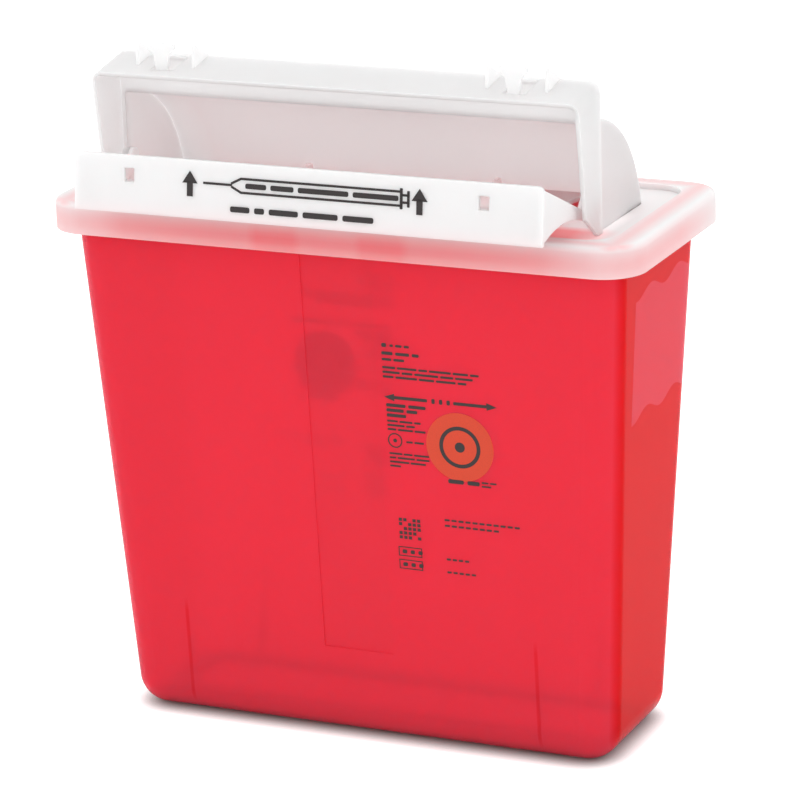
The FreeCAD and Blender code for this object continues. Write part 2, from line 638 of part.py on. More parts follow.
def make_tray():
    """Swinging tray: front flap, crested floor, end cheeks with pivot studs, rear paddle."""
    body = new_body("tray")
    low = (pivot_y - s.flap_reach, pivot_z - s.flap_drop)
    high = (low[0] + s.flap_lean, low[1] + s.flap_height)

    flap = across(body, "flap", tray_length)
    outline(flap, [low, (low[0] + s.flap_thickness, low[1]), (high[0] + s.flap_thickness, high[1]), high])
    pad(body, flap, tray_length)

    def upper_corner(edge):
        limits = edge.BoundBox
        at_end = abs(abs(limits.Center.x) - tray_length.value / 2) < 0.02
        return at_end and level(edge, "Z", high[1])

    fillet(body, s.flap_corner, upper_corner)

    # crested front floor: two concentric arcs from the flap to below the pivot
    neck_y = pivot_y - s.neck_reach
    crest_y = (low[0] + neck_y) / 2
    crest_z = pivot_z - s.crest_drop
    centre_z = crest_z - s.crest_radius
    outer_radius = s.crest_radius + s.tray_wall
    start = low[0] + s.flap_thickness / 2
    finish = neck_y + s.tray_wall

    def arc_height(radius, y):
        return centre_z + root(radius * radius - (y - crest_y) * (y - crest_y))

    floor = across(body, "front_floor", tray_length)
    outline(floor, [
        (start, [arc_height(s.crest_radius, start)]),
        (start, [arc_height(outer_radius, start)]),
        (finish, [arc_height(outer_radius, finish)]),
        (finish, [arc_height(s.crest_radius, finish)]),
    ], {
        1: (crest_y, centre_z, outer_radius, "right"),
        3: (crest_y, centre_z, s.crest_radius, "left"),
    })
    pad(body, floor, tray_length)

    # rear paddle, narrower than the deck opening
    rear = pivot_y + s.paddle_reach
    paddle_length = chute_length - s.paddle_gap * 2
    paddle = across(body, "paddle", paddle_length)
    neck_foot = arc_height(s.crest_radius, neck_y)
    outline(paddle, [
        (neck_y, neck_foot), (rear, paddle_top - s.tray_wall),
        (rear, paddle_top), (neck_y, neck_foot + s.tray_wall),
    ])
    pad(body, paddle, paddle_length)

    # end cheek: wide at the flap, a narrow neck beside the hood, then the hub round the pivot
    cheek = new_sketch(body, "cheek", "YZ_Plane", tray_length / 2 - s.tray_wall)
    hub_back = pivot_y + s.socket_radius * 0.6
    hub_front = pivot_y - s.socket_radius * 0.6
    outline(cheek, [
        (low[0] + s.flap_thickness / 2, [arc_height(s.crest_radius, low[0] + s.flap_thickness / 2)]),
        (neck_y, [neck_foot]),
        (hub_back, pivot_z - s.socket_radius * 0.8),
        (hub_front, pivot_z + s.socket_radius * 0.8),
        (neck_y, neck_foot + s.neck_height),
        (high[0] + s.flap_thickness / 2, high[1] - s.flap_corner / 2),
    ], {0: (crest_y, centre_z, s.crest_radius, "right")})
    wing = pad(body, cheek, s.tray_wall)
    hub = new_sketch(body, "hub", "YZ_Plane", tray_length / 2 - s.tray_wall)
    disc(hub, pivot_y, pivot_z, s.socket_radius)
    boss = pad(body, hub, s.tray_wall)
    stud = new_sketch(body, "stud", "YZ_Plane", tray_length / 2 - s.tray_wall / 2)
    disc(stud, pivot_y, pivot_z, s.pivot_radius)
    pin_pad = pad(body, stud, socket_end - s.seat_gap - tray_length / 2 + s.tray_wall / 2)
    mirror(body, [wing, boss, pin_pad])

    behind_flap = low[0] + s.flap_lean + s.flap_thickness + s.tray_wall
    windows = new_sketch(body, "windows", "XZ_Plane", -behind_flap)
    base = low[1] + s.window_rise - s.window_height / 2
    for side in (-1, 1):
        middle = latch_middle * side
        box(windows, middle - s.window_width / 2, middle + s.window_width / 2, base, base + s.window_height)
    pocket(body, windows, s.flap_thickness * 4)
    return body


subparts = [make_tub(), make_lid(), make_hood(), make_tray()]
doc.recompute()

for item in doc.Objects:
    if "Invalid" in item.State or "Error" in item.State:
        raise RuntimeError(f"{item.Name} failed: {item.State}")

os.makedirs("parts", exist_ok=True)
for body in subparts:
    shape = body.Shape
    if shape.isNull() or not shape.isValid() or len(shape.Solids) != 1:
        raise RuntimeError(f"{body.Label} is not one valid solid")
    shape.exportStep(f"parts/{body.Label}.step")
    print(body.Label, "volume", round(shape.Volume), shape.BoundBox)
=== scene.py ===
import json
import math

import bmesh
import bpy
from bpy.props import FloatProperty, FloatVectorProperty, PointerProperty
from mathutils import Matrix, Vector
from mathutils.bvhtree import BVHTree


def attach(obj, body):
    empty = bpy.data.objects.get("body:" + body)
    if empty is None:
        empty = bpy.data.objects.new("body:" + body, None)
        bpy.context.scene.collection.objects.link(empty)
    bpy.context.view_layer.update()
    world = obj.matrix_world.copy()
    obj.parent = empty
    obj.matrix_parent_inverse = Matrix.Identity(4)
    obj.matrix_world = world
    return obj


bl_info = {
    "name": "Sharps container",
    "version": (1, 0, 0),
    "blender": (4, 5, 0),
    "location": "View3D > Sidebar > Sharps",
    "description": "Finishes, prints and studio of a sharps container with a swinging tray",
    "category": "Object",
}

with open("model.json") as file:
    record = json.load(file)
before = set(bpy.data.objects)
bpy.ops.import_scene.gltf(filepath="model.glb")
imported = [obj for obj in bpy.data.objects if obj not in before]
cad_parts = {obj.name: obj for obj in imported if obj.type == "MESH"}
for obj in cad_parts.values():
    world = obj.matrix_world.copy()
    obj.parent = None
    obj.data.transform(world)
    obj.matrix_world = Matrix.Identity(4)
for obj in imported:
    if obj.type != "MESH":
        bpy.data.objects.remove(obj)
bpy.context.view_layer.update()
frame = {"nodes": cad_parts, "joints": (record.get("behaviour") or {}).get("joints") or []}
MM = 0.001


# ---------------------------------------------------------------- places on the object, from the frame


def node_box(name):
    """Low and high corner of a CAD node, in millimetres."""
    corners = [vert.co / MM for vert in frame["nodes"][name].data.vertices]
    return [Vector([pick(values) for values in zip(*corners)]) for pick in (min, max)]


SKIRT_FOOT = node_box("lid")[0].z
RIM_TOP = node_box("lid")[1].z
DECK_TOP = node_box("hood")[0].z
PIVOT = Vector(frame["joints"][0]["pos_m"]) / MM
DOME_AXIS = Vector((0, -30, DECK_TOP - 8))
DOME_INSIDE = 54.2
STOP_PLACE = 45.0
DISC_PLACE = (53.4, 142.5)
FRONT = (0, -1, 0)
BACK = (0, 1, 0)


# ---------------------------------------------------------------- sizes and colours a user may change


def colour(name, description, value):
    return FloatVectorProperty(
        name=name, description=description, default=value, size=3, subtype="COLOR", min=0, max=1
    )


def length(name, description, value):
    return FloatProperty(name=name, description=description, default=value, unit="LENGTH", precision=5)


def power(name, description, value):
    return FloatProperty(name=name, description=description, default=value, unit="POWER")


class SharpsColours(bpy.types.PropertyGroup):
    """Colours of the plastics, the inks and the floor."""

    tub: colour("Tub", "Transparent red plastic of the tub", (1.0, 0.084, 0.135))
    natural: colour("Natural", "Milky plastic of the lid, hood and tray", (0.985, 0.972, 0.974))
    # painted red light: the tub's red, as light coming through, is painted into the lid, hood and tray
    red_shine_through: colour("Red shine through", "Red of the tub as it shows through the lid", (0.96, 0.235, 0.25))
    ink: colour("Ink", "Black printing ink", (0.018, 0.012, 0.012))
    disc: colour("Disc", "Orange printed disc", (0.60, 0.042, 0.008))
    floor: colour("Floor", "Studio floor", (0.88, 0.88, 0.88))


class SharpsSizes(bpy.types.PropertyGroup):
    """Sizes of the prints."""

    ink_proud: length("Ink height", "How far the ink stands off the plastic", 0.00006)
    ink_sunk: length("Ink depth", "How far the ink reaches into the plastic", 0.00004)
    disc_radius: length("Disc radius", "Printed disc on the tub", 0.0155)
    text_height: length("Text bar", "Height of the small bars that stand for text", 0.0011)
    arrow_stroke: length("Arrow stroke", "Line width of the printed arrows", 0.0014)


class SharpsStudio(bpy.types.PropertyGroup):
    """Camera, lamps and the floor's shadow."""

    camera_place: FloatVectorProperty(
        name="Camera", description="Camera position", default=(0.70898, -1.54734, 0.67114),
        size=3, subtype="TRANSLATION", unit="LENGTH",
    )
    camera_target: FloatVectorProperty(
        name="Target", description="Point in the middle of the view", default=(0.00582, -0.00227, 0.14567),
        size=3, subtype="TRANSLATION", unit="LENGTH",
    )
    camera_roll: FloatProperty(
        name="Roll", description="Turn of the camera about its view", default=math.radians(-1.825),
        subtype="ANGLE",
    )
    camera_lens: FloatProperty(name="Lens", description="Focal length in millimetres", default=182.71)
    ambient: FloatProperty(name="Ambient", description="Light that comes from all round", default=1.12)
    key_power: power("Key", "Power of the large front softbox", 5.0)
    top_power: power("Top", "Power of the softbox overhead", 2.0)
    side_power: power("Side", "Power of the softbox on the right", 3.0)
    floor_reach: length("Contact shadow", "How far the object's foot darkens the floor", 0.009)


# ---------------------------------------------------------------- materials


def new_material(name):
    """A material, its node tree and its Principled shader."""
    material = bpy.data.materials.new(name)
    material.use_nodes = True
    tree = material.node_tree
    shader = tree.nodes["Principled BSDF"]
    return material, tree, shader


def wire(tree, source, target):
    tree.links.new(source, target)


def node(tree, kind, **values):
    """A node with its properties set by name."""
    made = tree.nodes.new(kind)
    for name, value in values.items():
        setattr(made, name, value)
    return made


def noise(tree, scale, detail=3.0, roughness=0.55):
    """Noise over the object's own coordinates, from 0 to 1."""
    place = node(tree, "ShaderNodeTexCoord")
    made = node(tree, "ShaderNodeTexNoise")
    made.inputs["Scale"].default_value = scale
    made.inputs["Detail"].default_value = detail
    made.inputs["Roughness"].default_value = roughness
    wire(tree, place.outputs["Object"], made.inputs["Vector"])
    return made.outputs["Fac"]


def spread(tree, value, low, high, from_low=0.3, from_high=0.7):
    """A value brought into a range."""
    made = node(tree, "ShaderNodeMapRange")
    limits = {"From Min": from_low, "From Max": from_high, "To Min": low, "To Max": high}
    for name, number in limits.items():
        made.inputs[name].default_value = number
    wire(tree, value, made.inputs["Value"])
    return made.outputs["Result"]


def mixed(tree, factor, first, second):
    """Two colours mixed by a factor. Each is a colour or a socket."""
    made = node(tree, "ShaderNodeMix", data_type="RGBA")
    wire(tree, factor, made.inputs["Factor"])
    for name, value in (("A", first), ("B", second)):
        socket = [i for i in made.inputs if i.name == name and i.type == "RGBA"][0]
        if isinstance(value, bpy.types.NodeSocket):
            wire(tree, value, socket)
        else:
            socket.default_value = (*value, 1.0)
    return [o for o in made.outputs if o.type == "RGBA"][0]


def arithmetic(tree, operation, first, second=0.0, third=0.0):
    made = node(tree, "ShaderNodeMath", operation=operation)
    for socket, value in zip(made.inputs, (first, second, third)):
        if isinstance(value, bpy.types.NodeSocket):
            wire(tree, value, socket)
        else:
            socket.default_value = value
    return made.outputs[0]


def bump(tree, shader, height, strength, distance):
    made = node(tree, "ShaderNodeBump")
    made.inputs["Strength"].default_value = strength
    made.inputs["Distance"].default_value = distance
    wire(tree, height, made.inputs["Height"])
    wire(tree, made.outputs["Normal"], shader.inputs["Normal"])


def scaled(base, factor):
    return tuple(min(1.0, c * factor) for c in base)


def above(tree, value, place, soft):
    """0 up to a place on a coordinate and 1 past it, with a soft edge. Both are in millimetres."""
    return spread(tree, value, 0.0, 1.0, (place - soft) * MM, (place + soft) * MM)


def below(tree, value, place, soft):
    """1 up to a place on a coordinate and 0 past it, with a soft edge. Both are in millimetres."""
    return spread(tree, value, 1.0, 0.0, (place - soft) * MM, (place + soft) * MM)


def between(tree, value, low, high, soft):
    """1 between two places on a coordinate and 0 outside, with soft edges, in millimetres."""
    return product(tree, above(tree, value, low, soft), below(tree, value, high, soft))


def product(tree, *values):
    """Several sockets or numbers multiplied."""
    result = values[0]
    for value in values[1:]:
        result = arithmetic(tree, "MULTIPLY", result, value)
    return result


def greatest(tree, *values):
    """The greatest of several sockets."""
    result = values[0]
    for value in values[1:]:
        result = arithmetic(tree, "MAXIMUM", result, value)
    return result


def size_of(tree, value):
    """A coordinate without its sign."""
    return arithmetic(tree, "ABSOLUTE", value)


def coordinates(tree):
    """The object's own X, Y and Z."""
    place = node(tree, "ShaderNodeTexCoord")
    axes = node(tree, "ShaderNodeSeparateXYZ")
    wire(tree, place.outputs["Object"], axes.inputs[0])
    return [axes.outputs[name] for name in "XYZ"]


def from_axis(tree, axis):
    """Distance from a line that runs left to right through a place."""
    _, y, z = coordinates(tree)
    parts = [arithmetic(tree, "SUBTRACT", y, axis.y * MM), arithmetic(tree, "SUBTRACT", z, axis.z * MM)]
    squares = [product(tree, part, part) for part in parts]
    return arithmetic(tree, "SQRT", arithmetic(tree, "ADD", *squares))


def curve(tree, value, points):
    """A height from 0 to 1 over a coordinate, straight between points of (millimetres, height)."""
    low, high = points[0][0], points[-1][0]
    made = node(tree, "ShaderNodeValToRGB")
    stops = made.color_ramp.elements
    for index, (place, height) in enumerate(points):
        share = (place - low) / (high - low)
        stop = stops[index] if index < 2 else stops.new(share)
        stop.position = share
        stop.color = (height, height, height, 1)
    wire(tree, spread(tree, value, 0.0, 1.0, low * MM, high * MM), made.inputs["Fac"])
    return made.outputs["Color"]


def end_panel(tree):
    """1 on the paler matt panel of the right end wall, which has a wavy upper edge."""
    foot, head, front, face = 154.5, 209, -26.1, 121.1
    waves, wave_height = 190.0, 2.2 * MM
    x, y, z = coordinates(tree)
    swell = arithmetic(tree, "SINE", arithmetic(tree, "MULTIPLY", y, waves))
    level = arithmetic(tree, "ADD", z, arithmetic(tree, "MULTIPLY", swell, wave_height))
    return product(tree, between(tree, level, foot, head, 0.25), above(tree, y, front, 0.3),
                   above(tree, x, face, 0.1))


def end_walls(tree):
    """1 on the tub's two end walls, which lean out by their draft; it places their painted shade."""
    draft, foot_end = 0.0525, 113.75
    x, _, z = coordinates(tree)
    upright = arithmetic(tree, "SUBTRACT", size_of(tree, x), arithmetic(tree, "MULTIPLY", z, draft))
    return above(tree, upright, foot_end, 1.25)


def sight_strip(tree):
    """How much the sight strip down the middle of the front wall pales."""
    half_width, foot, head = 16.5, 42, 227
    x, y, z = coordinates(tree)
    return product(tree, between(tree, x, -half_width, half_width, 0.2), between(tree, z, foot, head, 3),
                   below(tree, y, -15, 5), 0.5)


def nesting_ribs(tree):
    """How much the wall darkens in front of the ribs inside."""
    inner, outer, foot, head = 82.9, 84.5, 8, 54
    x, _, z = coordinates(tree)
    return product(tree, between(tree, size_of(tree, x), inner, outer, 0.3),
                   between(tree, z, foot, head, 3), 0.45)


def tub_plastic(colours):
    """Transparent red moulding: clear enough to show the far print, with a satin face and flow marks."""
    material, tree, shader = new_material("tub_red_plastic")
    shader.inputs["IOR"].default_value = 1.12
    shader.inputs["Transmission Weight"].default_value = 0.60
    shader.inputs["Specular IOR Level"].default_value = 0.15
    shader.inputs["Subsurface Weight"].default_value = 0.6
    shader.inputs["Subsurface Radius"].default_value = (1.0, 0.25, 0.25)
    shader.inputs["Subsurface Scale"].default_value = 4 * MM
    red = mixed(tree, noise(tree, 14.0, 2.0), scaled(colours.tub, 0.97), scaled(colours.tub, 1.03))
    pale = tuple(c * 0.92 + 0.012 for c in colours.tub)
    # painted shade: the end walls are painted a deeper red than the front wall; the ribs inside the front
    # wall use the same deeper red
    deep = (colours.tub[0] * 0.84, 0.0, colours.tub[2] * 0.03)
    front = mixed(tree, nesting_ribs(tree), mixed(tree, sight_strip(tree), red, pale), deep)
    wall = mixed(tree, end_walls(tree), front, deep)
    panel = end_panel(tree)
    wire(tree, mixed(tree, panel, wall, pale), shader.inputs["Base Color"])
    rough = spread(tree, noise(tree, 60.0, 3.0), 0.05, 0.08)
    wire(tree, arithmetic(tree, "MULTIPLY_ADD", panel, 0.14, rough), shader.inputs["Roughness"])
    return material


def milky(name, colours, shade, clear, depth, paint):
    """Milky moulding that lets light in by a depth in millimetres, darkened by a painted shade factor.
    paint(tree, white) gives two
    sockets: its base colour with painted red light from the tub, and painted light given off where the
    pieces shade each other."""
    material, tree, shader = new_material(name)
    shader.inputs["IOR"].default_value = 1.25
    shader.inputs["Transmission Weight"].default_value = clear
    shader.inputs["Subsurface Weight"].default_value = 1.0
    shader.inputs["Subsurface Radius"].default_value = (1.0, 0.9, 0.9)
    shader.inputs["Subsurface Scale"].default_value = depth * MM
    # painted shade: shade scales the one milky plastic darker on some pieces
    base = scaled(colours.natural, shade)
    white = mixed(tree, noise(tree, 22.0, 2.0), scaled(base, 0.98), scaled(base, 1.015))
    base, painted_light = paint(tree, white)
    wire(tree, base, shader.inputs["Base Color"])
    wire(tree, base, shader.inputs["Emission Color"])
    wire(tree, painted_light, shader.inputs["Emission Strength"])
    wire(tree, spread(tree, noise(tree, 70.0, 3.0), 0.36, 0.46), shader.inputs["Roughness"])
    bump(tree, shader, noise(tree, 1100.0, 2.0), 0.10, 0.05 * MM)
    return material


def skirt_red_light(tree):
    """Painted red light from the tub in the skirt, where it shows through: most at half height and over the
    snap lugs, least at the corners.
    """
    x, y, z = coordinates(tree)
    wide = size_of(tree, x)
    foot = SKIRT_FOOT
    by_height = curve(tree, z, [
        (foot, 0.80), (foot + 2, 0.82), (foot + 4, 0.97), (foot + 6, 1.0), (foot + 8, 0.9),
        (foot + 10.5, 0.65), (foot + 12.5, 0.24), (RIM_TOP, 0.0),
    ])
    by_length = curve(tree, wide, [
        (0, 0.88), (12, 0.88), (16, 1.0), (33, 1.0), (38, 0.86), (60, 0.84),
        (96, 0.74), (108, 0.58), (122, 0.44), (134, 0.50), (137, 0.60),
    ])
    to_back = curve(tree, y, [(-60, 1.0), (0, 0.95), (22, 0.6), (45, 0.2), (60, 0.6)])
    at_skirt = greatest(tree, above(tree, wide, 128, 2), above(tree, size_of(tree, y), 52.5, 1.5))
    return product(tree, by_height, by_length, at_skirt, to_back)


def rim_red_light(tree):
    """Painted red light in the rim, over the tub's edge, where the tub's red shows through."""
    x, y, z = coordinates(tree)
    over_edge = greatest(tree, between(tree, size_of(tree, x), 123, 131, 3),
                         between(tree, size_of(tree, y), 49, 56, 3))
    return product(tree, over_edge, above(tree, z, DECK_TOP + 0.5, 1.5), 0.38)


def deck_red_light_and_shade(tree):
    """Painted red light and shade in the deck in front of the hood, where the tub's red shows through under
    the tray.
    """
    x, y, z = coordinates(tree)
    return product(tree, between(tree, y, -50, -24, 4), between(tree, z, DECK_TOP - 3, DECK_TOP + 3, 1),
                   spread(tree, size_of(tree, x), 0.85, 0.0, 100 * MM, 121 * MM))


def chute_light(tree):
    """Light that comes up from the tub beside the chute."""
    x, y, z = coordinates(tree)
    return product(tree, between(tree, y, -40, 2, 6), between(tree, size_of(tree, x), 86, 112, 4),
                   between(tree, z, DECK_TOP - 4, DECK_TOP + 3, 1), 0.30)


def lid_paint(colours):
    """Painted red light: the tub's red where it shows through the lid in the skirt, the rim and the deck,
    and painted light beside the chute.
    """

    def paint(tree, white):
        strength = greatest(tree, skirt_red_light(tree), rim_red_light(tree), deck_red_light_and_shade(tree))
        return mixed(tree, strength, white, tuple(colours.red_shine_through)), chute_light(tree)

    return paint


def hood_paint(colours):
    """Faint red glow on the inner face of the dome, from the tub below, and light in the rest stops."""

    def paint(tree, white):
        x, y, _ = coordinates(tree)
        wide = size_of(tree, x)
        reach = from_axis(tree, DOME_AXIS)
        inside = below(tree, reach, DOME_INSIDE + 0.7, 0.3)
        behind = above(tree, y, -26, 4)
        from_ends = spread(tree, wide, 1.0, 0.35, 92 * MM, 108.1 * MM)
        glow = product(tree, inside, behind, from_ends, 0.27)
        stops = product(tree, between(tree, wide, STOP_PLACE - 1.2, STOP_PLACE + 1.2, 0.2), behind,
                        below(tree, reach, DOME_INSIDE - 0.7, 0.5), 0.24)
        return mixed(tree, glow, white, tuple(colours.red_shine_through)), stops

    return paint


def tray_paint(colours):
    """Faint red glow low on the flap, and light in the hubs and in what the flap's windows show."""

    def paint(tree, white):
        x, y, z = coordinates(tree)
        wide = size_of(tree, x)
        glow = curve(tree, z, [(236, 0.22), (243, 0.10), (250, 0.04), (260, 0.0), (270, 0.0)])
        on_floor = product(tree, between(tree, wide, 44, 76, 3), between(tree, y, -34, -8, 3),
                           between(tree, z, 238, 247, 1), 0.22)
        on_cheek = product(tree, between(tree, wide, 104, 106, 0.3), between(tree, y, -52, -30, 3),
                           between(tree, z, 243, 252, 1), 0.22)
        on_hub = product(tree, below(tree, from_axis(tree, PIVOT), 5, 1), above(tree, wide, 99.5, 1.5), 0.2)
        return mixed(tree, glow, white, tuple(colours.red_shine_through)), greatest(tree, on_floor, on_cheek, on_hub)

    return paint


def ink_material(name, base):
    """Screen-printed ink: thin, slightly uneven, half matt."""
    material, tree, shader = new_material(name)
    speckle = noise(tree, 2600.0, 2.0)
    wire(tree, mixed(tree, speckle, scaled(base, 0.85), scaled(base, 1.25)), shader.inputs["Base Color"])
    wire(tree, spread(tree, speckle, 0.38, 0.55), shader.inputs["Roughness"])
    bump(tree, shader, speckle, 0.15, 0.02 * MM)
    return material


def finish_node(name, material):
    """Puts a material in every slot of a CAD node."""
    slots = frame["nodes"][name].data.materials
    for index in range(len(slots)):
        slots[index] = material
    if not slots:
        slots.append(material)


# ---------------------------------------------------------------- printing


class Print:
    """A flat print drawn across and up, in millimetres, that is laid on a face of the object."""

    def __init__(self):
        self.mesh = bmesh.new()
        self.placed = self.mesh.verts.layers.int.new("placed")

    def _placed(self, u, v, turn=0.0):
        """Turns and moves what was made last, and marks it as placed."""
        made = [vert for vert in self.mesh.verts if not vert[self.placed]]
        matrix = Matrix.Translation((u * MM, v * MM, 0)) @ Matrix.Rotation(turn, 4, "Z")
        bmesh.ops.transform(self.mesh, matrix=matrix, verts=made)
        for vert in made:
            vert[self.placed] = 1

    def bar(self, u, v, wide, high, turn=0.0, rounding=0.3):
        """A bar about its middle, with rounded ends."""
        made = bmesh.ops.create_grid(self.mesh, x_segments=1, y_segments=1, size=0.5)["verts"]
        bmesh.ops.scale(self.mesh, vec=(wide * MM, high * MM, 1), verts=made)
        if rounding:
            bmesh.ops.bevel(
                self.mesh, geom=made, offset=min(wide, high) * rounding * MM, offset_type="OFFSET",
                segments=2, profile=0.5, affect="VERTICES", material=-1,
            )
        self._placed(u, v, turn)

    def stroke(self, start, end, thick):
        """A bar from one point to another."""
        du, dv = end[0] - start[0], end[1] - start[1]
        self.bar((start[0] + end[0]) / 2, (start[1] + end[1]) / 2, math.hypot(du, dv) + thick * 0.5, thick,
                 math.atan2(dv, du), rounding=0.2)

    def disc(self, u, v, radius, segments=48):
        bmesh.ops.create_circle(self.mesh, cap_ends=True, radius=radius * MM, segments=segments)
        self._placed(u, v)

    def ring(self, u, v, radius, thick, segments=48):
        edges = set()
        for reach in (radius - thick / 2, radius + thick / 2):
            loop = bmesh.ops.create_circle(self.mesh, radius=reach * MM, segments=segments)["verts"]
            edges.update(edge for vert in loop for edge in vert.link_edges)
        bmesh.ops.bridge_loops(self.mesh, edges=list(edges))
        self._placed(u, v)

    def arrow_head(self, u, v, long, wide, turn):
        """A triangle that points along +U before its turn."""
        made = bmesh.ops.create_circle(self.mesh, cap_ends=True, radius=MM, segments=3)["verts"]
        bmesh.ops.rotate(self.mesh, matrix=Matrix.Rotation(-math.pi / 2, 3, "Z"), verts=made)
        bmesh.ops.scale(self.mesh, vec=(long / 1.5, wide / math.sqrt(3), 1), verts=made)
        self._placed(u, v, turn)

    def text_line(self, u, v, words, high):
        """A row of short bars in place of words. Each number is a bar's length."""
        for long in words:
            self.bar(u + long / 2, v, long, high)
            u += long + high * 0.9

    def lay(self, name, material, body, sizes, surface, outward, coat=1):
        """Extrudes the print to its ink height and drops it onto a node's face. The print's U runs
        to the right of someone who looks at that face. A second coat stands on the first."""
        mesh = self.mesh
        for face in mesh.faces:
            face.normal_update()
            if face.normal.z < 0:
                face.normal_flip()
        flat = list(mesh.faces)
        raised = bmesh.ops.extrude_face_region(mesh, geom=flat)["geom"]
        top = {item for item in raised if isinstance(item, bmesh.types.BMVert)}
        tree = BVHTree.FromPolygons(
            [v.co for v in frame["nodes"][surface].data.vertices],
            [p.vertices for p in frame["nodes"][surface].data.polygons],
        )
        side = Vector(outward)
        across = Vector((0, 0, 1)).cross(side)
        for vert in mesh.verts:
            start = across * vert.co.x + Vector((0, 0, 1)) * vert.co.y + side
            hit, normal, _, _ = tree.ray_cast(start, -side)
            if hit is None:
                raise RuntimeError(f"{name} runs off {surface}")
            if normal.dot(side) < 0:
                normal = -normal
            vert.co = hit + normal * (sizes.ink_proud * coat if vert in top else -sizes.ink_sunk)
        bmesh.ops.recalc_face_normals(mesh, faces=mesh.faces)
        data = bpy.data.meshes.new(name)
        mesh.to_mesh(data)
        mesh.free()
        piece = bpy.data.objects.new(name, data)
        bpy.context.scene.collection.objects.link(piece)
        data.materials.append(material)
        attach(piece, body)
        return piece


def tub_print_black(mark, sizes):
    """Black part of the tub's print: text bars, a fill line with arrows, rings and plain blocks."""
    high = sizes.text_height / MM
    stroke = sizes.arrow_stroke / MM
    # heading and three lines of small text
    mark.bar(20.7, 185.6, 2.2, 1.8)
    mark.text_line(23.4, 185.6, [1.6, 3.0, 2.4], high)
    mark.text_line(19.4, 182.0, [5.2, 6.4, 3.2], high * 1.25)
    mark.text_line(19.4, 179.2, [4.4, 5.0], high)
    for row, words in enumerate(([6, 9, 4, 10, 7, 4], [8, 5, 11, 6, 8], [5, 10, 7, 9, 4])):
        mark.text_line(19.4, 175.6 - row * 2.1, words, high * 0.9)
    # fill line with an arrow to each side
    middle, level = 45.4, 162.2
    for side in (-1, 1):
        mark.stroke((middle + 6.4 * side, level), (middle + 21.0 * side, level), stroke)
        mark.arrow_head(middle + 22.8 * side, level, 4.6, 3.4, 0.0 if side > 0 else math.pi)
    mark.text_line(middle - 4, level, [1.5, 1.5, 1.5], 2.2)
    # left column
    for row, words in enumerate(([9, 8], [8, 5], [9])):
        mark.text_line(20.2, 158.6 - row * 2.3, words, high * 1.3)
    for row, words in enumerate(([5, 6, 3], [8, 4], [4, 7, 5])):
        mark.text_line(20.2, 151.4 - row * 1.9, words, high * 0.8)
    mark.ring(23.4, 142.6, 3.1, 0.55, 32)
    mark.disc(23.4, 142.6, 0.9, 16)
    mark.text_line(28.6, 142.4, [3, 4.4], high * 0.8)
    for row, words in enumerate(([6, 4, 7], [3, 8, 6], [9, 7], [5])):
        mark.text_line(20.4, 136.6 - row * 1.9, words, high * 0.75)
    # on the disc: a ring round a dot
    mark.ring(*DISC_PLACE, 8.6, 1.7)
    mark.disc(*DISC_PLACE, 2.3, 24)
    # caption under the disc
    mark.text_line(47.2, 126.6, [7.2, 5.6], high * 1.7)
    mark.text_line(62.6, 127.4, [3.2, 3.0], high * 0.7)
    mark.text_line(62.6, 125.7, [4.4], high * 0.7)
    # plain block, two rows of dashes and two small frames
    for row in range(5):
        for column in range(5):
            if (row * 3 + column * 2) % 5 != 1:
                mark.bar(23.6 + column * 2.15, 98.2 + row * 2.05, 1.5, 1.4, rounding=0.0)
    for row in range(2):
        mark.text_line(44.4, 108.4 - row * 2.6, [2.4] * (11 - row * 3), high * 0.85)
    line = 0.4
    for row, v in enumerate((91.6, 85.6)):
        for side in (1, -1):
            mark.bar(27.5, v + 2.0 * side, 11.0, line, rounding=0)
        for u in (22.2, 32.8):
            mark.bar(u, v, line, 4.0, rounding=0)
        mark.text_line(23.8, v, [2.2, 2.0, 2.0], 1.8)
        mark.text_line(44.4, v - 1.4, [2.0] * (4 + row), high * 0.85)


def flap_print_lines(mark, sizes):
    """Two arrows up and the outline of a plain syringe with bars where the words stand."""
    shaft = sizes.arrow_stroke / MM * 2
    for u in (-52.4, 52.6):
        mark.bar(u, 255.6, shaft, 6.4, rounding=0)
        mark.arrow_head(u, 259.7, 5.2, 7.2, math.pi / 2)
    low, high = 255.6, 261.4
    middle = (low + high) / 2
    mark.stroke((-46.0, middle), (-33.0, middle), 1.0)
    mark.stroke((-33.0, middle - 0.7), (-28.6, low), 1.0)
    mark.stroke((-33.0, middle + 0.7), (-28.6, high), 1.0)
    mark.stroke((-28.6, low), (44.4, low), 1.0)
    mark.stroke((-28.6, high), (44.4, high), 1.0)
    mark.stroke((44.4, low - 1.1), (44.4, high + 1.1), 1.3)
    mark.stroke((44.4, low + 1.4), (47.6, low + 1.4), 1.0)
    mark.stroke((44.4, high - 1.4), (47.6, high - 1.4), 1.0)
    mark.stroke((47.6, low - 0.2), (47.6, high + 0.2), 1.2)
    mark.text_line(-26.6, middle, [9.6, 10.6, 23.0, 20.6], 2.2)
    mark.text_line(-33.6, 248.4, [9.0, 4.6, 13.4, 16.0, 14.0], 2.4)


# ---------------------------------------------------------------- operators


class SHARPS_OT_tub_finish(bpy.types.Operator):
    """Gives the tub its transparent red plastic."""

    bl_idname = "sharps.tub_finish"
    bl_label = "Tub plastic"

    def execute(self, context):
        finish_node("tub", tub_plastic(context.scene.sharps_colours))
        return {"FINISHED"}


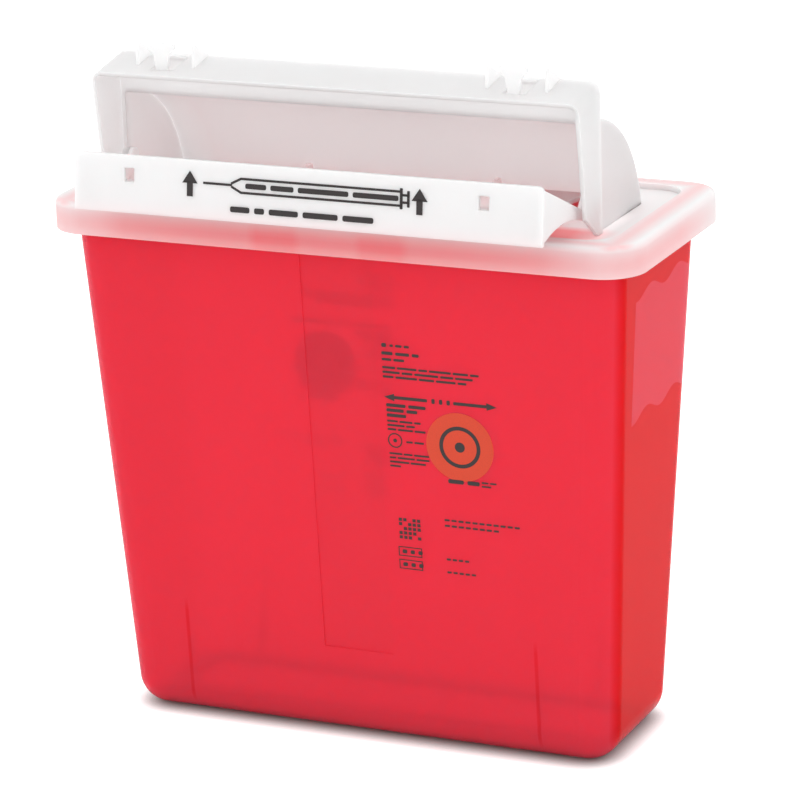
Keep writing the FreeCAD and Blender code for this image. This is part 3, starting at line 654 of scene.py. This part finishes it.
class SHARPS_OT_natural_finish(bpy.types.Operator):
    """Gives the lid, the hood and the tray their milky plastic."""

    bl_idname = "sharps.natural_finish"
    bl_label = "Lid, hood and tray plastic"

    def execute(self, context):
        colours = context.scene.sharps_colours
        # piece, painted shade of the one milky plastic, clearness, depth of light in millimetres, and where
        # red light and light are painted
        looks = (
            ("lid", 0.85, 0.06, 2.5, lid_paint),
            ("hood", 1.0, 0.10, 14.0, hood_paint),
            ("tray", 0.94, 0.08, 6.0, tray_paint),
        )
        for name, shade, clear, depth, paint in looks:
            finish_node(name, milky(f"{name}_milky_plastic", colours, shade, clear, depth, paint(colours)))
        return {"FINISHED"}


class SHARPS_OT_tub_prints(bpy.types.Operator):
    """Prints the plain marks on the front and on the back of the tub."""

    bl_idname = "sharps.tub_prints"
    bl_label = "Tub prints"

    def execute(self, context):
        colours, sizes = context.scene.sharps_colours, context.scene.sharps_sizes
        ink = ink_material("black_ink", colours.ink)
        orange = ink_material("orange_ink", colours.disc)
        for word, outward in (("front", FRONT), ("back", BACK)):
            disc = Print()
            disc.disc(*DISC_PLACE, sizes.disc_radius / MM, 64)
            disc.lay(f"tub_disc_{word}", orange, "container", sizes, "tub", outward)
            mark = Print()
            tub_print_black(mark, sizes)
            mark.lay(f"tub_print_{word}", ink, "container", sizes, "tub", outward, coat=2)
        return {"FINISHED"}


class SHARPS_OT_flap_print(bpy.types.Operator):
    """Prints the arrows and the syringe outline on the tray's flap."""

    bl_idname = "sharps.flap_print"
    bl_label = "Flap print"

    def execute(self, context):
        colours, sizes = context.scene.sharps_colours, context.scene.sharps_sizes
        ink = bpy.data.materials.get("black_ink") or ink_material("black_ink", colours.ink)
        mark = Print()
        flap_print_lines(mark, sizes)
        mark.lay("flap_print", ink, "swing_tray", sizes, "tray", FRONT)
        return {"FINISHED"}


def backdrop_rays(tree):
    """1 for what the camera sees straight, in gloss or through clear plastic."""
    path = node(tree, "ShaderNodeLightPath")
    seen = arithmetic(tree, "MAXIMUM", path.outputs["Is Camera Ray"], path.outputs["Is Glossy Ray"])
    return arithmetic(tree, "MAXIMUM", seen, path.outputs["Is Transmission Ray"])


def aimed(place, target, roll=0.0):
    """A matrix that looks from a place to a target."""
    forward = (Vector(target) - Vector(place)).normalized()
    turn = forward.to_track_quat("-Z", "Y").to_matrix().to_4x4()
    return Matrix.Translation(place) @ turn @ Matrix.Rotation(roll, 4, "Z")


class SHARPS_OT_stage(bpy.types.Operator):
    """Builds the white studio: floor, world, softboxes and camera."""

    bl_idname = "sharps.stage"
    bl_label = "Studio"

    def execute(self, context):
        scene = context.scene
        studio = scene.sharps_studio
        mesh = bmesh.new()
        bmesh.ops.create_grid(mesh, x_segments=1, y_segments=1, size=6.0)
        data = bpy.data.meshes.new("studio_floor")
        mesh.to_mesh(data)
        mesh.free()
        floor = bpy.data.objects.new("studio_floor", data)
        scene.collection.objects.link(floor)
        material, tree, shader = new_material("studio_white")
        shader.inputs["Roughness"].default_value = 0.9
        shader.inputs["Specular IOR Level"].default_value = 0.1
        # the floor is darkest where the foot touches it
        contact = node(tree, "ShaderNodeAmbientOcclusion", samples=8, only_local=False)
        contact.inputs["Distance"].default_value = studio.floor_reach
        lit = arithmetic(tree, "POWER", contact.outputs["AO"], 1.3)
        shaded = (0.26, 0.28, 0.28)
        floor_colour = mixed(tree, lit, shaded, tuple(scene.sharps_colours.floor))
        wire(tree, floor_colour, shader.inputs["Base Color"])
        shader.inputs["Emission Color"].default_value = (1, 1, 1, 1)
        straight = node(tree, "ShaderNodeLightPath").outputs["Is Camera Ray"]
        glow = arithmetic(tree, "MULTIPLY_ADD", straight, 0.42, product(tree, backdrop_rays(tree), 0.20))
        wire(tree, product(tree, glow, lit), shader.inputs["Emission Strength"])
        data.materials.append(material)

        world = bpy.data.worlds.new("studio_world")
        world.use_nodes = True
        tree = world.node_tree
        light = tree.nodes["Background"]
        light.inputs["Color"].default_value = (1, 1, 1, 1)
        strength = spread(tree, backdrop_rays(tree), studio.ambient, 1.0, 0.0, 1.0)
        wire(tree, strength, light.inputs["Strength"])
        scene.world = world

        # lamp, place, side length and power
        boxes = (
            ("key_softbox", (-0.9, -2.2, 1.5), 1.6, studio.key_power),
            ("top_softbox", (0.1, -0.1, 2.4), 1.8, studio.top_power),
            ("side_softbox", (2.2, -0.5, 1.2), 1.4, studio.side_power),
        )
        for name, place, size, power in boxes:
            lamp = bpy.data.lights.new(name, "AREA")
            lamp.shape = "SQUARE"
            lamp.size = size
            lamp.energy = power
            lamp_object = bpy.data.objects.new(name, lamp)
            lamp_object.matrix_world = aimed(place, (0, 0, 0.15))
            scene.collection.objects.link(lamp_object)

        camera = bpy.data.cameras.new("camera")
        camera.sensor_width = 36
        camera.lens = studio.camera_lens
        camera.clip_end = 50
        camera_object = bpy.data.objects.new("camera", camera)
        camera_object.matrix_world = aimed(studio.camera_place, studio.camera_target, studio.camera_roll)
        scene.collection.objects.link(camera_object)
        scene.camera = camera_object
        scene.view_settings.view_transform = "Standard"
        return {"FINISHED"}


class SHARPS_PT_panel(bpy.types.Panel):
    """Lists the operators and what they can be given."""

    bl_idname = "SHARPS_PT_panel"
    bl_label = "Sharps container"
    bl_space_type = "VIEW_3D"
    bl_region_type = "UI"
    bl_category = "Sharps"

    def draw(self, context):
        layout = self.layout
        for group in ("sharps_colours", "sharps_sizes", "sharps_studio"):
            box = layout.box()
            values = getattr(context.scene, group)
            for name in values.__annotations__:
                box.prop(values, name)
        for operator in OPERATORS:
            layout.operator(operator.bl_idname)


GROUPS = (("sharps_colours", SharpsColours), ("sharps_sizes", SharpsSizes), ("sharps_studio", SharpsStudio))
OPERATORS = (
    SHARPS_OT_stage,
    SHARPS_OT_tub_finish,
    SHARPS_OT_natural_finish,
    SHARPS_OT_tub_prints,
    SHARPS_OT_flap_print,
)


def register():
    for name, group in GROUPS:
        bpy.utils.register_class(group)
        setattr(bpy.types.Scene, name, PointerProperty(type=group))
    for made in (*OPERATORS, SHARPS_PT_panel):
        bpy.utils.register_class(made)


def unregister():
    for made in reversed((*OPERATORS, SHARPS_PT_panel)):
        bpy.utils.unregister_class(made)
    for name, group in reversed(GROUPS):
        delattr(bpy.types.Scene, name)
        bpy.utils.unregister_class(group)


def main():
    register()
    bpy.ops.sharps.stage()
    bpy.ops.sharps.tub_finish()
    bpy.ops.sharps.natural_finish()
    bpy.ops.sharps.tub_prints()
    bpy.ops.sharps.flap_print()


if __name__ == "__main__":
    main()
